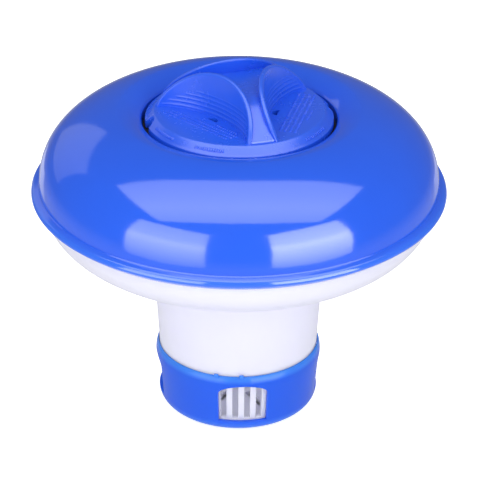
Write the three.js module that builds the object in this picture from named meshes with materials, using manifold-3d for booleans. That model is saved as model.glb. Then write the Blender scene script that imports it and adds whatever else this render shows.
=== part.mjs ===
// Floating chlorine dispenser, small size: a buoyant ring of two plastic shells round a slotted tablet
// canister, with a twist-off lid in the ring's mouth and a turning flow collar round the canister's slots.
// Millimetres, +Z up. The origin is on the axis, in the plane of the canister's foot.

import * as THREE from 'three';
import { mergeVertices } from 'three/addons/utils/BufferGeometryUtils.js';
import Module from 'manifold-3d';

const wasm = await Module();
wasm.setup();

// ---- Fits ----
const WELD_GAP = 0.3;            // between moulded pieces that are welded or pressed together
const RUNNING_GAP = 0.3;         // between pieces that turn in each other
const SEAL_GAP = 0.25;           // between the soft ring and the faces that squeeze it
const OVERLAP = 0.4;             // how far joined shapes run into each other
const BEYOND = 2;                // how far a cutting shape runs past what it cuts

// ---- Shells that hold the air ----
const RIM_HEIGHT = 71.6;         // lower edge of the rim above the foot
const RIM_RADIUS = 63.5;         // widest point
const RIM_EDGE_IN = 2.1;         // how much the rim's lower edge sits in from its widest point
const RIM_WIDEST_UP = 2;         // widest point above the lower edge
const RIM_SHOULDER_UP = 3.3;     // outer edge of the rim's top face
const RIM_SHOULDER_IN = 0.6;
const RIM_TOP_UP = 3.9;          // where the rim's top face meets the dome
const DOME_FOOT_IN = 2.4;        // dome's foot in from the rim's widest point
const SHELL_WALL = 1.8;
const DOME_HEIGHT = 28.2;        // top of the crown above the rim's lower edge
const CROWN_OUT = 7.2;           // from the mouth's edge to the circle where the crown is highest
const DOME_START_UP = 1.9;       // where the shoulder's curve starts, inside the rim
const DOME_ROUND_OUT = 1.49;     // powers of cosine and sine that shape the shoulder
const DOME_ROUND_UP = 0.75;
const MOUTH_RADIUS = 29.6;       // recess that the lid drops into
const MOUTH_DROP = 2.8;          // how far the mouth's edge lies below the crown
const MOUTH_ROUND = 0.5;
const HULL_IN = 3.5;             // hull's upper edge in from the rim's widest point
const HULL_DEPTH = 19;           // bottom of the hull below the rim's lower edge
const TONGUE_HEIGHT = 4;         // hull's upright tongue inside the top shell
const HULL_BOSS = 7;             // collar inside the hull that the canister is welded to

// ---- Canister ----
const NECK_IN = 0.7;             // neck's outside, from the hull's bottom up, in from the well's wall
const NECK_DRAFT = 0.06;         // loss of radius per millimetre below the hull's bottom
const CANISTER_WALL = 1.6;
const CANISTER_FLANGE = 1.5;     // thickness of the flange welded under the top shell's sleeve
const UPSTAND_HEIGHT = 2.3;      // locating ring inside the sleeve
const SLEEVE_END = 6;            // lower end of the top shell's sleeve above the rim's lower edge
const BASKET_DOWN = 2.2;         // top of the slotted basket below the collar's top
const BASKET_DRAFT = 0.08;       // loss of radius per millimetre below the basket's top
const BASKET_CORNER = 1.2;       // chamfer round the basket's lower edge
const FLOOR_UNDERSIDE = 2.1;
const FLOOR_THICKNESS = 1.5;
const FOOT_IN = 3.4;             // foot ring in from the basket's side
const FOOT_WIDTH = 2.4;
const SLOT_WIDTH = 1.9;
const SLOT_PITCH = 3.72;         // along the canister's outside
const SLOTS_IN_GROUP = 4;
const SLOT_LOW = 4.95;
const SLOT_DOWN = 0.4;           // top of the slots below the top of the windows
const SLOT_TURN = 2.6;           // degrees that the slot groups stand off the -Y axis
const DRAIN_COUNT = 6;
const DRAIN_LENGTH = 9;
const DRAIN_WIDTH = 2;
const DRAIN_MIDDLE = 10.5;
const BEAD_HEIGHT = 3.85;        // snap bead that keeps the collar on
const BEAD_SIZE = 0.45;

// ---- Flow collar ----
const COLLAR_LOW = 0.4;          // the foot stands this much below the collar
const COLLAR_HIGH = 20.8;
const COLLAR_WALL = 1.1;
const COLLAR_LIP = 1.4;          // thickness of the lip turned in under the canister
const COLLAR_CORNER = 4.1;
const SHOULDER_DOWN = 3.9;       // the collar's rounded shoulder, below its top edge
const SHOULDER_IN = 0.55;
const WINDOW_COUNT = 4;
const WINDOW_WIDTH = 14.9;
const WINDOW_LOW = 4.5;
const WINDOW_DOWN = 3.2;         // top of the arch below the collar's top
const WINDOW_RISE = 0.6;         // of the arch over its corners
const WINDOW_CORNER = 3;
const WINDOW_TURN = 3.6;         // degrees that the windows stand off the -Y axis
const PIP_RADIUS = 0.8;          // two setting pips on the collar's top edge
const PIP_ANGLES = [-105.2, -87.5];
const PIP_UP = 0.1;              // middle of a pip above the collar's edge
const PIP_OUT = 0.25;            // and out from the collar's bore

// ---- Lid ----
const LID_GAP = 1.1;             // round the lid in its recess
const LID_ABOVE_MOUTH = 2.9;     // top face above the mouth's edge
const LID_BEVEL = 2.7;
const LID_RIM_DEPTH = 4.7;       // from the top face to the underside of the flange
const LID_PLATE = 2;
const SKIRT_IN = 2.9;            // skirt in from the lid's edge
const SKIRT_WALL = 1.6;
const LUG_REACH = 1.4;           // how far the two lugs stand out of the skirt
const LUG_HEIGHT = 2.1;
const LUG_ANGLE = 30;            // degrees of arc
const LUG_ABOVE_EDGE = 0.3;      // over the skirt's lower edge
const LEDGE_DOWN = 1;            // top of the ledges below the seal's seat
const LEDGE_HEIGHT = 2.3;
const ENTRY_SPARE = 3;           // degrees of room at each side of a lug in its entry gap
const STOP_WIDTH = 2;
const STOP_SPARE = 4;            // degrees from a lug's end, at its limit, to the middle of its stop
const LUG_TURN = 13;             // degrees from +X to the first lug and to the notch above it
const LOCK_TURN = 60;            // degrees from free to locked
const NOTCH_RADIUS = 2.3;
const SEAL_HEIGHT = 1.2;

// ---- Grip: three scoops between three arched walls ----
const GRIP_COUNT = 3;
const GRIP_TURN = 106.4;         // degrees from +X to the first scoop
const GRIP_IN = 0.5;             // circle through the arches' feet, in from the bevel's upper edge
const ARCH_SPREAD = 49.6;        // degrees from the scoop's middle line to each foot
const ARCH_BULGE = 9.1;          // how far the arch's middle stands in from its feet
const ARCH_HEIGHT = 13.2;
const ARCH_PLAN_POWER = 1.33;
const ARCH_TOP_POWER = 1.15;
const ARCH_LEAN = 0.12;          // how much the wall leans in per millimetre of height
const ARCH_WALL = 1.5;
const GRIP_LINES = 5;            // raised lines along each scoop's wall
const GRIP_LINE_LOW = 0.6;       // lowest one above the top face
const GRIP_LINE_PITCH = 1.3;
const GRIP_LINE_HEIGHT = 0.5;
const GRIP_LINE_OUT = 0.3;
const MOUND_HEIGHT = 9;
const MOUND_WALL = 1.8;
const CAVITY_IN = 1;             // ledge between the grip's hollow and the skirt
const RAMP_ANGLE = 41;
const VENT_RADIUS = 1.8;
const VENT_OUT = 10.4;

// ---- Fineness ----
const BIG_SEGMENTS = 60;
const DOME_STEPS = 11;
const HULL_STEPS = 8;
const MOUTH_STEPS = 3;
const ARCH_STEPS = 16;
const ARCH_END = 0.02;           // radians that the outline stops short of its ends
const CORNER_STEPS = 4;
const VENT_SEGMENTS = 16;

// ---- Sizes that follow from those ----
const domeFoot = RIM_RADIUS - DOME_FOOT_IN;
const crownRadius = MOUTH_RADIUS + CROWN_OUT;
const mouthHeight = RIM_HEIGHT + DOME_HEIGHT - MOUTH_DROP;
const hullRadius = RIM_RADIUS - HULL_IN;
const hullBottom = RIM_HEIGHT - HULL_DEPTH;

const lidTop = mouthHeight + LID_ABOVE_MOUTH;
const lidRadius = MOUTH_RADIUS - LID_GAP;
const lidUnderside = lidTop - LID_RIM_DEPTH;
const seatHeight = lidUnderside - SEAL_HEIGHT - 2 * SEAL_GAP;
const ledgeHigh = seatHeight - LEDGE_DOWN;
const ledgeLow = ledgeHigh - LEDGE_HEIGHT;
const lugHigh = ledgeLow - RUNNING_GAP;
const lugLow = lugHigh - LUG_HEIGHT;
const skirtLow = lugLow - LUG_ABOVE_EDGE;
const skirtRadius = lidRadius - SKIRT_IN;
const lugReach = skirtRadius + LUG_REACH;
const wellRadius = lugReach + RUNNING_GAP;
const gripRadius = lidRadius - LID_BEVEL - GRIP_IN;

const neckTop = wellRadius - NECK_IN;
const flangeRadius = wellRadius + SHELL_WALL;
const flangeTop = RIM_HEIGHT + SLEEVE_END - WELD_GAP;
const basketHigh = COLLAR_HIGH - BASKET_DOWN;
const cornerHigh = FLOOR_UNDERSIDE + BASKET_CORNER;
const floorTop = FLOOR_UNDERSIDE + FLOOR_THICKNESS;
const footRadius = basketRadius(FLOOR_UNDERSIDE) - FOOT_IN;
const windowHigh = COLLAR_HIGH - WINDOW_DOWN;
const slotHigh = windowHigh - SLOT_DOWN;

const blue = { color: 0x2456e6, roughness: 0.3, metalness: 0 };
const white = { color: 0xf1f1fa, roughness: 0.4, metalness: 0 };
const black = { color: 0x1b1c1f, roughness: 0.8, metalness: 0 };

const radians = THREE.MathUtils.degToRad;

// A closed solid for cutting and joining, from any closed three.js geometry.
function solid(geometry) {
  const bare = geometry.clone();
  bare.deleteAttribute('normal');
  bare.deleteAttribute('uv');
  const merged = mergeVertices(bare);
  const corners = merged.index.array;
  const kept = [];
  for (let i = 0; i < corners.length; i += 3) {
    const [a, b, c] = corners.slice(i, i + 3);
    if (a !== b && b !== c && c !== a) kept.push(a, b, c);
  }
  return new wasm.Manifold(new wasm.Mesh({
    numProp: 3,
    vertProperties: Float32Array.from(merged.attributes.position.array),
    triVerts: Uint32Array.from(kept),
  }));
}

// A named mesh from a finished solid.
function piece(name, body, look) {
  const mesh = body.getMesh();
  const geometry = new THREE.BufferGeometry();
  const points = Float32Array.from(mesh.vertProperties);
  geometry.setAttribute('position', new THREE.BufferAttribute(points, 3));
  geometry.setIndex(new THREE.BufferAttribute(Uint32Array.from(mesh.triVerts), 1));
  geometry.computeVertexNormals();
  const made = new THREE.Mesh(geometry, new THREE.MeshStandardMaterial(look));
  made.name = name;
  return made;
}

// A solid of revolution about Z. The outline lists [radius, height] and closes on itself or starts and
// ends on the axis, with the material on the left of the way it runs.
function turned(outline, closed = true) {
  const points = outline.map(([radius, height]) => new THREE.Vector2(radius, height));
  if (closed) points.push(points[0].clone());
  return solid(new THREE.LatheGeometry(points, BIG_SEGMENTS).rotateX(Math.PI / 2));
}

// A flat outline of [x, y] points drawn up from one height to another.
function raised(outline, low, high) {
  const shape = new THREE.Shape(outline.map(([x, y]) => new THREE.Vector2(x, y)));
  const geometry = new THREE.ExtrudeGeometry(shape, { depth: high - low, bevelEnabled: false });
  return geometry.translate(0, 0, low);
}

// A block across the direction of an angle, between two distances from the axis and two heights.
function block(angle, near, far, width, low, high) {
  const geometry = new THREE.BoxGeometry(far - near, width, high - low);
  geometry.translate((near + far) / 2, 0, (low + high) / 2);
  return solid(geometry.rotateZ(radians(angle)));
}

function evenly(count, first) {
  return Array.from({ length: count }, (_, i) => first + (360 * i) / count);
}

// The canister's outside: a neck that tapers below the hull.
function neckRadius(height) {
  return neckTop - Math.max(hullBottom - height, 0) * NECK_DRAFT;
}

// The basket's outside, which goes on from the neck inside the collar and tapers more.
function basketRadius(height) {
  return neckRadius(basketHigh) - (basketHigh - height) * BASKET_DRAFT;
}

// The dome's skin, inset by a wall: a quarter of a flattened oval from the rim to the crown, then a
// shallow parabola down to the mouth.
function domeSkin(inset) {
  const base = RIM_HEIGHT + DOME_START_UP;
  const rise = DOME_HEIGHT - DOME_START_UP - inset;
  const reach = domeFoot - inset - crownRadius;
  const mouth = MOUTH_RADIUS + inset + MOUTH_ROUND;
  const points = [[domeFoot - inset, RIM_HEIGHT + RIM_TOP_UP]];
  for (let i = 1; i <= DOME_STEPS; i++) {
    const turn = (Math.PI / 2) * (i / DOME_STEPS);
    const out = Math.max(Math.cos(turn), 0) ** DOME_ROUND_OUT;
    points.push([crownRadius + reach * out, base + rise * Math.sin(turn) ** DOME_ROUND_UP]);
  }
  for (let i = 1; i <= MOUTH_STEPS; i++) {
    const share = i / MOUTH_STEPS;
    const radius = crownRadius + (mouth - crownRadius) * share;
    const fall = ((crownRadius - radius) / (crownRadius - MOUTH_RADIUS - MOUTH_ROUND)) ** 2;
    points.push([radius, base + rise - (MOUTH_DROP - MOUTH_ROUND) * fall]);
  }
  return points;
}

function topShell() {
  const outside = domeSkin(0);
  const inside = domeSkin(SHELL_WALL).reverse();
  const edge = RIM_RADIUS - RIM_EDGE_IN;
  const neck = MOUTH_RADIUS + SHELL_WALL;
  const shell = turned([
    [domeFoot - SHELL_WALL, RIM_HEIGHT],
    [edge, RIM_HEIGHT],
    [RIM_RADIUS, RIM_HEIGHT + RIM_WIDEST_UP],
    [RIM_RADIUS - RIM_SHOULDER_IN, RIM_HEIGHT + RIM_SHOULDER_UP],
    ...outside,
    [MOUTH_RADIUS, mouthHeight - MOUTH_ROUND],
    [MOUTH_RADIUS, seatHeight],
    [wellRadius, seatHeight],
    [wellRadius, RIM_HEIGHT + SLEEVE_END],
    [flangeRadius, RIM_HEIGHT + SLEEVE_END],
    [flangeRadius, seatHeight - 2 * SHELL_WALL],
    [neck, seatHeight - SHELL_WALL],
    ...inside,
  ]);
  return shell.add(ledges()).add(stops());
}

// Two ledges inside the well that the lid's lugs turn under, with a gap over each lug's place.
function ledges() {
  let ring = turned([
    [skirtRadius + RUNNING_GAP, ledgeLow],
    [wellRadius + OVERLAP, ledgeLow],
    [wellRadius + OVERLAP, ledgeHigh],
    [skirtRadius + RUNNING_GAP, ledgeHigh],
  ]);
  const gap = 2 * wellRadius * Math.sin(radians(LUG_ANGLE / 2 + ENTRY_SPARE));
  for (const angle of evenly(2, LUG_TURN)) {
    const far = wellRadius + BEYOND;
    ring = ring.subtract(block(angle, 0, far, gap, ledgeLow - BEYOND, ledgeHigh + BEYOND));
  }
  return ring;
}

// A rib at each end of each lug's way.
function stops() {
  const past = LUG_ANGLE / 2 + STOP_SPARE;
  let ribs = null;
  for (const lug of evenly(2, LUG_TURN)) {
    for (const angle of [lug + past, lug - LOCK_TURN - past]) {
      const near = lugReach - LUG_REACH / 2;
      const rib = block(angle, near, wellRadius + OVERLAP, STOP_WIDTH, lugLow, ledgeLow + OVERLAP);
      ribs = ribs ? ribs.add(rib) : rib;
    }
  }
  return ribs;
}

// The hull's skin, inset by a wall: a quarter of an ellipse from the rim in to the canister.
function hullSkin(inset) {
  const hole = neckRadius(hullBottom) + WELD_GAP;
  const points = [];
  for (let i = 0; i <= HULL_STEPS; i++) {
    const turn = (Math.PI / 2) * (i / HULL_STEPS);
    const radius = hole + (hullRadius - inset - hole) * Math.cos(turn);
    points.push([radius, RIM_HEIGHT - WELD_GAP - (HULL_DEPTH - WELD_GAP - inset) * Math.sin(turn)]);
  }
  return points;
}

function bottomShell() {
  const hole = neckRadius(hullBottom + HULL_BOSS) + WELD_GAP;
  const tongue = domeFoot - SHELL_WALL - WELD_GAP;
  const top = RIM_HEIGHT - WELD_GAP;
  const inside = hullSkin(SHELL_WALL).filter(([radius]) => radius > hole + SHELL_WALL);
  return turned([
    ...hullSkin(0).reverse(),
    [tongue, top],
    [tongue, top + TONGUE_HEIGHT],
    [tongue - SHELL_WALL, top + TONGUE_HEIGHT],
    [tongue - SHELL_WALL, top],
    ...inside.slice(1),
    [hole + SHELL_WALL, inside.at(-1)[1]],
    [hole + SHELL_WALL, hullBottom + HULL_BOSS],
    [hole, hullBottom + HULL_BOSS],
  ]);
}

function tabletCanister() {
  const flangeLow = flangeTop - CANISTER_FLANGE;
  const upstand = wellRadius - WELD_GAP;
  const bore = (height) => neckRadius(height) - CANISTER_WALL;
  let body = turned([
    [footRadius, 0],
    [footRadius, FLOOR_UNDERSIDE],
    [basketRadius(cornerHigh) - BASKET_CORNER, FLOOR_UNDERSIDE],
    [basketRadius(cornerHigh), cornerHigh],
    [basketRadius(BEAD_HEIGHT - BEAD_SIZE), BEAD_HEIGHT - BEAD_SIZE],
    [basketRadius(BEAD_HEIGHT) + BEAD_SIZE, BEAD_HEIGHT],
    [basketRadius(BEAD_HEIGHT + BEAD_SIZE), BEAD_HEIGHT + BEAD_SIZE],
    [basketRadius(basketHigh), basketHigh],
    [neckTop, hullBottom],
    [neckTop, flangeLow],
    [flangeRadius, flangeLow],
    [flangeRadius, flangeTop],
    [upstand, flangeTop],
    [upstand, flangeTop + UPSTAND_HEIGHT],
    [bore(flangeTop), flangeTop + UPSTAND_HEIGHT],
    [bore(flangeTop), flangeTop],
    [bore(hullBottom), hullBottom],
    [bore(basketHigh), basketHigh],
    [basketRadius(floorTop) - CANISTER_WALL, floorTop],
    [0, floorTop],
    [0, FLOOR_UNDERSIDE - FLOOR_THICKNESS / 2],
    [footRadius - FOOT_WIDTH, FLOOR_UNDERSIDE - FLOOR_THICKNESS / 2],
    [footRadius - FOOT_WIDTH, 0],
  ]);
  const slotRadius = basketRadius((SLOT_LOW + slotHigh) / 2);
  const step = THREE.MathUtils.radToDeg(SLOT_PITCH / slotRadius);
  for (const middle of evenly(WINDOW_COUNT, SLOT_TURN - 90)) {
    for (let i = 0; i < SLOTS_IN_GROUP; i++) {
      const angle = middle + (i - (SLOTS_IN_GROUP - 1) / 2) * step;
      const near = slotRadius - 2 * CANISTER_WALL;
      body = body.subtract(block(angle, near, slotRadius + BEYOND, SLOT_WIDTH, SLOT_LOW, slotHigh));
    }
  }
  for (const angle of evenly(DRAIN_COUNT, 0)) {
    const near = DRAIN_MIDDLE - DRAIN_LENGTH / 2;
    body = body.subtract(block(angle, near, near + DRAIN_LENGTH, DRAIN_WIDTH, 0, floorTop + BEYOND));
  }
  return body;
}

// The collar's outside from its lip up: a round corner, a tapering wall and a shoulder that closes on
// the neck.
function collarSkin() {
  const roundHigh = COLLAR_LOW + COLLAR_CORNER;
  const shoulderLow = COLLAR_HIGH - SHOULDER_DOWN;
  const wall = (height) => basketRadius(height) + RUNNING_GAP + COLLAR_WALL;
  const points = [];
  for (let i = 0; i <= CORNER_STEPS; i++) {
    const turn = (Math.PI / 2) * (i / CORNER_STEPS);
    const radius = wall(roundHigh) - COLLAR_CORNER * (1 - Math.sin(turn));
    points.push([radius, roundHigh - COLLAR_CORNER * Math.cos(turn)]);
  }
  for (let i = 0; i <= CORNER_STEPS; i++) {
    const turn = (Math.PI / 2) * (i / CORNER_STEPS);
    const radius = wall(shoulderLow) - SHOULDER_IN * (1 - Math.cos(turn));
    points.push([radius, shoulderLow + SHOULDER_DOWN * Math.sin(turn)]);
  }
  return points;
}

function flowCollar() {
  const inner = (height) => basketRadius(height) + RUNNING_GAP;
  const grooveHigh = BEAD_HEIGHT + 2 * BEAD_SIZE;
  const chamferHigh = cornerHigh - RUNNING_GAP;
  const top = neckRadius(COLLAR_HIGH) + RUNNING_GAP;
  let body = turned([
    [footRadius + RUNNING_GAP, COLLAR_LOW],
    ...collarSkin(),
    [top, COLLAR_HIGH],
    [inner(basketHigh), basketHigh],
    [inner(grooveHigh), grooveHigh],
    [inner(BEAD_HEIGHT) + BEAD_SIZE, BEAD_HEIGHT],
    [inner(chamferHigh), chamferHigh],
    [inner(chamferHigh) - BASKET_CORNER, COLLAR_LOW + COLLAR_LIP],
    [footRadius + RUNNING_GAP, COLLAR_LOW + COLLAR_LIP],
  ]);
  for (const angle of evenly(WINDOW_COUNT, WINDOW_TURN - 90)) {
    body = body.subtract(windowCut(angle));
  }
  for (const angle of PIP_ANGLES) {
    const ball = new THREE.SphereGeometry(PIP_RADIUS, VENT_SEGMENTS, VENT_SEGMENTS / 2);
    ball.translate(top + PIP_OUT, 0, COLLAR_HIGH + PIP_UP);
    const low = COLLAR_HIGH - PIP_RADIUS;
    const clear = block(angle, top, RIM_RADIUS, WINDOW_WIDTH, low, COLLAR_HIGH + BEYOND);
    body = body.add(solid(ball.rotateZ(radians(angle))).intersect(clear));
  }
  return body;
}

// A window's shape, upright sides and round corners under a slight arch, run out through one side of the
// collar.
function windowCut(angle) {
  const half = WINDOW_WIDTH / 2;
  const side = windowHigh - WINDOW_RISE;
  const shape = new THREE.Shape();
  shape.moveTo(-half, WINDOW_LOW);
  shape.lineTo(half, WINDOW_LOW);
  shape.lineTo(half, side - WINDOW_CORNER);
  shape.quadraticCurveTo(half, side, half - WINDOW_CORNER, side);
  shape.quadraticCurveTo(0, side + 2 * WINDOW_RISE, WINDOW_CORNER - half, side);
  shape.quadraticCurveTo(-half, side, -half, side - WINDOW_CORNER);
  shape.closePath();
  const settings = { depth: basketRadius(windowHigh), bevelEnabled: false, curveSegments: CORNER_STEPS };
  const geometry = new THREE.ExtrudeGeometry(shape, settings);
  geometry.translate(0, 0, settings.depth / 2).rotateX(Math.PI / 2);
  return solid(geometry.rotateZ(radians(angle + 90)));
}

// One point of an arch, in the scoop's frame: x across, y out from the lid's centre, z above the top
// face.
function archPoint(turn) {
  const opening = Math.max(Math.cos(turn), 0);
  return new THREE.Vector3(
    gripRadius * Math.sin(radians(ARCH_SPREAD)) * Math.sin(turn),
    gripRadius * Math.cos(radians(ARCH_SPREAD)) - ARCH_BULGE * opening ** ARCH_PLAN_POWER,
    ARCH_HEIGHT * opening ** ARCH_TOP_POWER,
  );
}

// The arch's outline in plan at the height of its top, moved sideways towards the scoop by an offset.
function archPlan(offset) {
  const flat = (turn) => {
    const point = archPoint(turn);
    return new THREE.Vector2(point.x, point.y - ARCH_LEAN * (ARCH_HEIGHT - point.z));
  };
  const points = [];
  for (let i = 0; i <= ARCH_STEPS; i++) {
    const turn = (Math.PI / 2 - ARCH_END) * ((2 * i) / ARCH_STEPS - 1);
    const along = flat(turn + ARCH_END / 2).sub(flat(turn - ARCH_END / 2)).normalize();
    const point = flat(turn);
    points.push([point.x - along.y * offset, point.y + along.x * offset]);
  }
  return points;
}

// Leans a solid of the grip about the height of the arches' tops, and turns it to its place.
function placed(geometry, angle) {
  geometry.translate(0, 0, -ARCH_HEIGHT);
  geometry.applyMatrix4(new THREE.Matrix4().makeShear(0, 0, 0, 0, 0, -ARCH_LEAN));
  geometry.translate(0, 0, ARCH_HEIGHT + lidTop);
  return solid(geometry.rotateZ(radians(angle - 90)));
}

// A curved band in plan between two offsets from the arch's middle line.
function archBand(inside, outside, low, high) {
  return raised([...archPlan(outside), ...archPlan(inside).reverse()], low, high);
}

// One arched wall: a curved band in plan, cut to the arch's height by its outline from in front.
function archWall(angle) {
  const half = ARCH_WALL / 2;
  const outline = [];
  for (let i = 0; i <= ARCH_STEPS; i++) {
    const point = archPoint(Math.PI * (i / ARCH_STEPS - 0.5));
    outline.push([point.x * (1 + half / gripRadius), point.z]);
  }
  const wide = outline.at(-1)[0];
  const shape = [[-wide, -LID_PLATE], ...outline, [wide, -LID_PLATE]];
  const front = raised(shape, -lidRadius, lidRadius).rotateX(Math.PI / 2);
  const upright = solid(front.translate(0, 0, lidTop).rotateZ(radians(angle - 90)));
  let wall = placed(archBand(-half, half, -LID_PLATE / 2, ARCH_HEIGHT + BEYOND), angle);
  for (let i = 0; i < GRIP_LINES; i++) {
    const low = GRIP_LINE_LOW + i * GRIP_LINE_PITCH;
    const line = archBand(half - OVERLAP, half + GRIP_LINE_OUT, low, low + GRIP_LINE_HEIGHT);
    wall = wall.add(placed(line, angle));
  }
  return wall.intersect(upright);
}

// The hollow in front of an arch, out past the lid's rim.
function scoop(angle, offset, low) {
  const wide = lidRadius + BEYOND;
  const outline = [...archPlan(offset), [wide, 2 * lidRadius], [-wide, 2 * lidRadius]];
  return placed(raised(outline, low, ARCH_HEIGHT + BEYOND), angle);
}

// Three ramps up to a flat top, as a frustum whose sides face the valleys between the scoops.
function mound(drop, below) {
  const slope = Math.tan(radians(RAMP_ANGLE));
  const height = MOUND_HEIGHT + below;
  const topRadius = 2 * (gripRadius - MOUND_HEIGHT / slope);
  const lowRadius = topRadius + (2 * height) / slope;
  const geometry = new THREE.CylinderGeometry(topRadius, lowRadius, height, GRIP_COUNT);
  geometry.rotateX(Math.PI / 2).rotateZ(radians(GRIP_TURN + 90));
  return solid(geometry.translate(0, 0, lidTop + MOUND_HEIGHT - height / 2 - drop));
}

// The lid without its grip: a bevelled plate with a flange and a skirt.
function lidPlate() {
  const plateLow = lidTop - LID_PLATE;
  return turned([
    [0, plateLow],
    [skirtRadius - SKIRT_WALL, plateLow],
    [skirtRadius - SKIRT_WALL, skirtLow],
    [skirtRadius, skirtLow],
    [skirtRadius, lidUnderside],
    [lidRadius, lidUnderside],
    [lidRadius, lidTop - LID_BEVEL],
    [lidRadius - LID_BEVEL, lidTop],
    [0, lidTop],
  ], false);
}

// The space under the mound and between the arches, kept inside the skirt.
function gripCavity() {
  const mountain = mound(MOUND_WALL / Math.cos(radians(RAMP_ANGLE)), LID_PLATE);
  const drum = new THREE.CylinderGeometry(1, 1, 2 * ARCH_HEIGHT, BIG_SEGMENTS).rotateX(Math.PI / 2);
  const reach = skirtRadius - SKIRT_WALL - CAVITY_IN;
  let cavity = mountain.intersect(solid(drum.scale(reach, reach, 1).translate(0, 0, lidTop)));
  for (const angle of evenly(GRIP_COUNT, GRIP_TURN)) {
    cavity = cavity.subtract(scoop(angle, -ARCH_WALL / 2, -2 * LID_PLATE));
  }
  return cavity;
}

function twistLid() {
  let grip = mound(0, LID_PLATE / 2);
  for (const angle of evenly(GRIP_COUNT, GRIP_TURN)) {
    grip = grip.subtract(scoop(angle, ARCH_WALL / 2, -LID_PLATE)).add(archWall(angle));
  }
  let body = lidPlate().add(grip).subtract(gripCavity());
  for (const angle of evenly(GRIP_COUNT, GRIP_TURN)) body = body.subtract(vent(angle));
  for (const angle of evenly(2, LUG_TURN)) {
    body = body.subtract(notch(angle)).add(lug(angle));
  }
  return body;
}

// A D-shaped hole through the lid's plate, its flat side towards the rim.
function vent(angle) {
  const shape = new THREE.Shape();
  shape.absarc(0, 0, VENT_RADIUS, Math.PI / 2, (3 * Math.PI) / 2, false);
  shape.closePath();
  const depth = LID_PLATE + 2 * BEYOND;
  const geometry = new THREE.ExtrudeGeometry(shape, { depth, bevelEnabled: false, curveSegments: 8 });
  geometry.translate(VENT_OUT + VENT_RADIUS / 2, 0, lidTop - depth / 2);
  return solid(geometry.rotateZ(radians(angle)));
}

// A round notch down through the lid's edge.
function notch(angle) {
  const geometry = new THREE.CylinderGeometry(NOTCH_RADIUS, NOTCH_RADIUS, 2 * LID_RIM_DEPTH, VENT_SEGMENTS);
  geometry.rotateX(Math.PI / 2).translate(lidRadius, 0, lidTop);
  return solid(geometry.rotateZ(radians(angle)));
}

function lug(angle) {
  const ring = turned([
    [skirtRadius - OVERLAP, lugLow],
    [lugReach, lugLow],
    [lugReach, lugHigh],
    [skirtRadius - OVERLAP, lugHigh],
  ]);
  const width = 2 * lugReach * Math.sin(radians(LUG_ANGLE / 2));
  return ring.intersect(block(angle, 0, lidRadius, width, lugLow - BEYOND, lugHigh + BEYOND));
}

function lidSealRing() {
  const inner = skirtRadius + RUNNING_GAP;
  const outer = MOUTH_RADIUS - RUNNING_GAP;
  const low = seatHeight + SEAL_GAP;
  return turned([[inner, low], [outer, low], [outer, low + SEAL_HEIGHT], [inner, low + SEAL_HEIGHT]]);
}

const dispenser = new THREE.Group();
dispenser.add(
  piece('top_shell', topShell(), blue),
  piece('bottom_shell', bottomShell(), white),
  piece('tablet_canister', tabletCanister(), white),
  piece('flow_collar', flowCollar(), blue),
  piece('lid_seal_ring', lidSealRing(), black),
  piece('twist_lid', twistLid(), blue),
);

export default dispenser;
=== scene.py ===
"""Looks for a small floating chlorine dispenser: glossy blue top shell, white hull and canister, and a
twist-off lid.

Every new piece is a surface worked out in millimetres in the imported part's own frame: +Z up, the axis at
x = y = 0, the canister's foot at z = 0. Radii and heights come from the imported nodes' boxes.
"""

import bmesh
import bpy
import numpy as np
from mathutils import Matrix, Vector


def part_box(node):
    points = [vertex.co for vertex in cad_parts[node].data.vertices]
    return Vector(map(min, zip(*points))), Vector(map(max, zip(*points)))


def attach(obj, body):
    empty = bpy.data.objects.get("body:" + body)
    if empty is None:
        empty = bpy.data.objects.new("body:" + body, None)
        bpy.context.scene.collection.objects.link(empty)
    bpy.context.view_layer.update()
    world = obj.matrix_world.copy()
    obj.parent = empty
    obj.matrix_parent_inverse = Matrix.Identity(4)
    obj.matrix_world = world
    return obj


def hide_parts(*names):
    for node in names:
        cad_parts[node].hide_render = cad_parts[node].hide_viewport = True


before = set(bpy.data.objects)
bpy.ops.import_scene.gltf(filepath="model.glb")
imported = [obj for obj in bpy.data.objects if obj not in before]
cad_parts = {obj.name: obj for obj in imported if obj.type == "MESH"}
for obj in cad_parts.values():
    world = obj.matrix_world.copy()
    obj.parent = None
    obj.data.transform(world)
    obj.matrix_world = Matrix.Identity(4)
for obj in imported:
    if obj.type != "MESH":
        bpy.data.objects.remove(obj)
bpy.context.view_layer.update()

MM = 0.001
FULL_TURN = 2 * np.pi


def box_mm(node):
    """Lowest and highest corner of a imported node, in millimetres."""
    low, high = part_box(node)
    return np.array(low) / MM, np.array(high) / MM


top_low, top_high = box_mm("top_shell")
hull_low, hull_high = box_mm("bottom_shell")
can_high = box_mm("tablet_canister")[1]
collar_low, collar_high = box_mm("flow_collar")
seal_low, seal_high = box_mm("lid_seal_ring")
lid_low, lid_high = box_mm("twist_lid")

# ---- Walls and fits, in millimetres like every size below but the studio's ----
WELD_GAP = 0.3
RUNNING_GAP = 0.3
SHELL_WALL = 1.8
CANISTER_WALL = 1.6

# ---- Top shell ----
RIM_RADIUS = top_high[0]
RIM_Z = top_low[2]
CROWN_Z = top_high[2]
RIM_EDGE_IN = 2.1
RIM_WIDEST_UP = 2.0
RIM_SHOULDER_UP = 3.3
RIM_SHOULDER_IN = 0.6
RIM_TOP_UP = 3.9
RIM_ROUNDED_OFF = 0.17
DOME_FOOT_IN = 2.4
DOME_START_UP = 1.9
DOME_ROUND_OUT = 1.49
DOME_ROUND_UP = 0.75
CROWN_OUT = 7.2
MOUTH_DROP = 2.8
MOUTH_ROUND = 0.5
SLEEVE_UP = 6.0

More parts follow.
